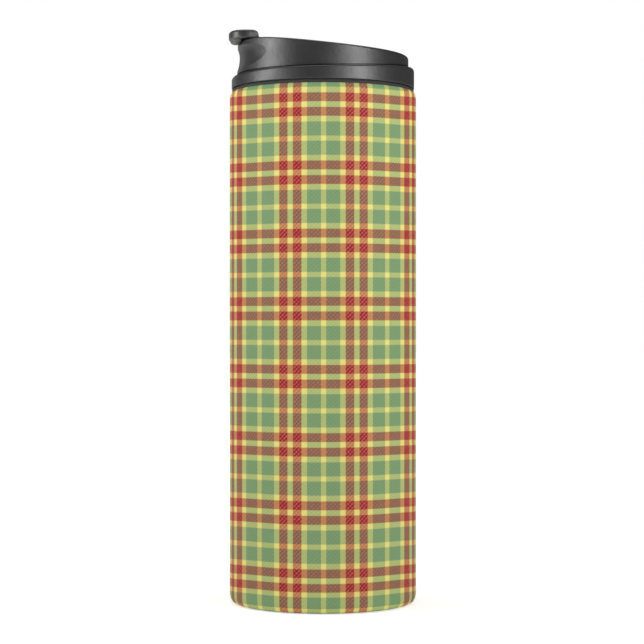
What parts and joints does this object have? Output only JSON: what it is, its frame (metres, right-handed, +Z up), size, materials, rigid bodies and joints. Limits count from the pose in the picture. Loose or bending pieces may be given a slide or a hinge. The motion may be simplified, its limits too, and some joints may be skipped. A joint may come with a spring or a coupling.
{
  "type": "vacuum flask",
  "caption": "Slim double-walled steel travel flask in a plaid printed film, with a dark screw-in lid, a flip-up drinking cap and a silicone-footed base.",
  "frame": {"origin": "centre of the resting plane, on the flask's axis", "axes": "+Z up along the flask's axis, -X towards the drinking side and its thumb tab, Y along the flip cap's hinge pin"},
  "size_m": [0.0709, 0.07, 0.2132],
  "materials": {
    "steel": "brushed",
    "plaid_print": "semi-matte print",
    "copper_foil": "bright foil",
    "getter_metal": "sintered",
    "solder": "matte bead",
    "silicone": "matte",
    "seal_silicone": "soft matte",
    "lid_plastic": "fine moulded grain",
    "cap_plastic": "fine moulded grain"
  },
  "bodies": {
    "flask": {"outer_shell": "steel", "printed_wrap": "plaid_print", "inner_liner": "steel", "heat_shield": "copper_foil", "base_disc": "steel", "getter": "getter_metal", "getter_clip": "steel", "seal_bead": "solder", "base_pad": "silicone", "neck_collar": "lid_plastic", "collar_seal": "seal_silicone"},
    "gasket": {"lid_gasket": "seal_silicone"},
    "lid": {"lid_plug": "lid_plastic", "lid_ring": "lid_plastic", "lid_dome": "lid_plastic", "spout_seal": "seal_silicone", "hinge_pin": "steel"},
    "cap": {"flip_cap": "cap_plastic", "drink_stopper": "seal_silicone", "vent_stopper": "seal_silicone"}
  },
  "joints": [
    {"name": "lid_lift", "type": "slide", "parent": "flask", "child": "gasket", "axis": [0, 0, 1], "range_m": [0, 0.0245]},
    {"name": "lid_turn", "type": "hinge", "parent": "gasket", "child": "lid", "pos_m": [0, 0, 0.1926], "axis": [0, 0, 1], "range_deg": [0, 1080]},
    {"name": "flip_open", "type": "hinge", "parent": "lid", "child": "cap", "pos_m": [0.003, 0, 0.2055], "axis": [0, 1, 0], "range_deg": [0, 160]}
  ],
  "couplings": [
    {"joint": "lid_lift", "follows": "lid_turn", "m_per_rad": 0.0012732}
  ]
}
